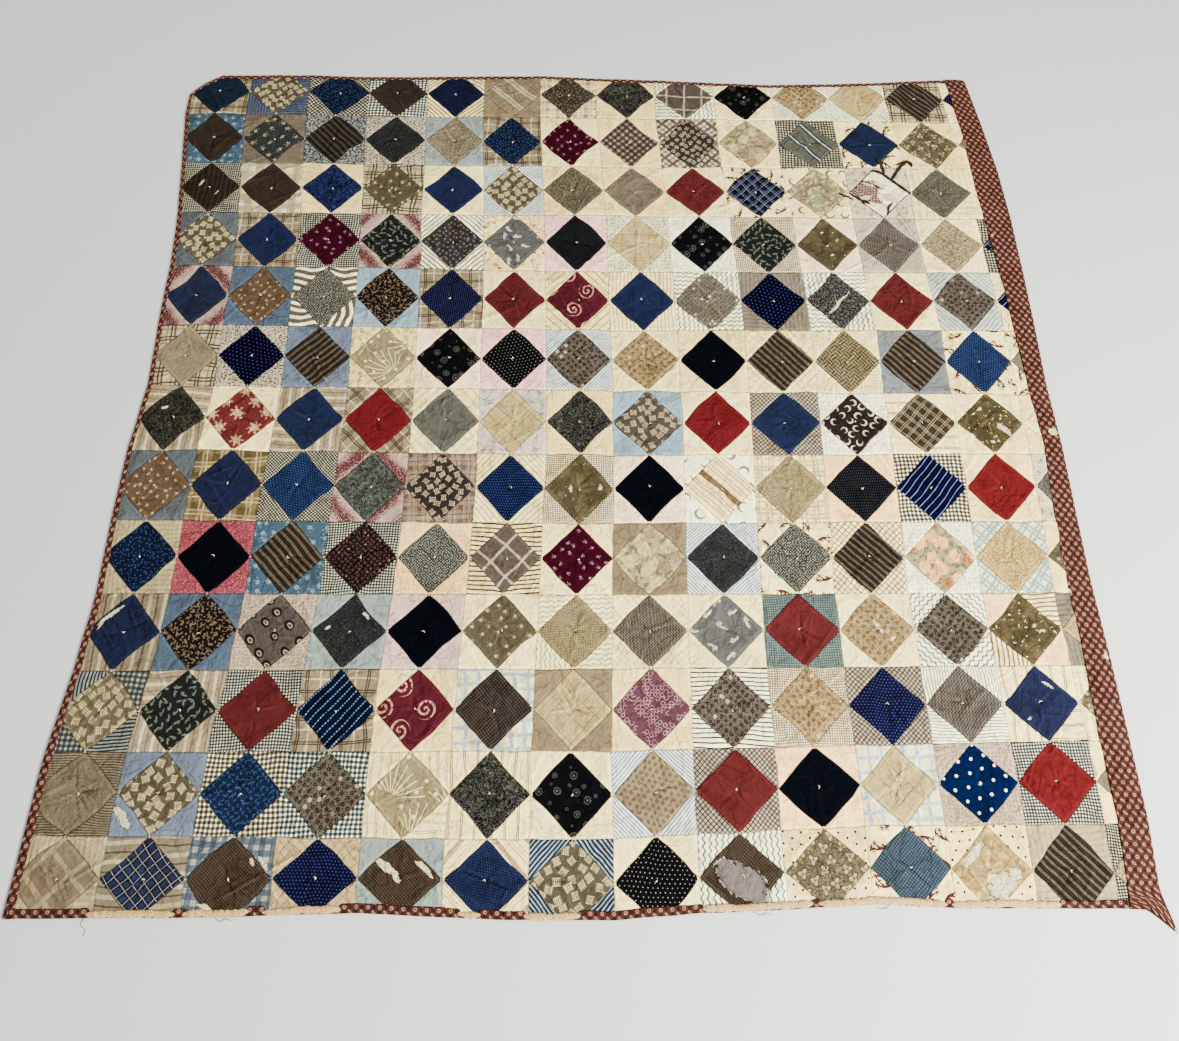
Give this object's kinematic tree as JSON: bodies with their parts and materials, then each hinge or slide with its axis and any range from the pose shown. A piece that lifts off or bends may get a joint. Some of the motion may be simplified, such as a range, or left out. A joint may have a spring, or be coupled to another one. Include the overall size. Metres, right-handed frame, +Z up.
{
  "type": "patchwork quilt",
  "caption": "Old tied cotton patchwork quilt of square-in-a-square blocks, lying flat with one side margin folded over onto the front.",
  "frame": {"origin": "middle of the quilt's outline on the surface it lies on", "axes": "+Z up out of the patchwork face, +X across the quilt from the hemmed left side towards the folded margin, +Y from the worn bottom edge towards the top edge"},
  "size_m": [2.0699, 1.9585, 0.0118],
  "materials": {
    "patchwork": "aged plain-woven printed cottons in many colours, pieced and softly puckered",
    "backing_print": "plain-woven cotton with a small all-over red-brown print, worn at the folds",
    "wadding": "loose white cotton wadding, matt and fluffy",
    "tie_cotton": "soft twisted white cotton string"
  },
  "bodies": {
    "root": {"quilted_body": "patchwork", "backing": "backing_print"}
  },
  "joints": []
}
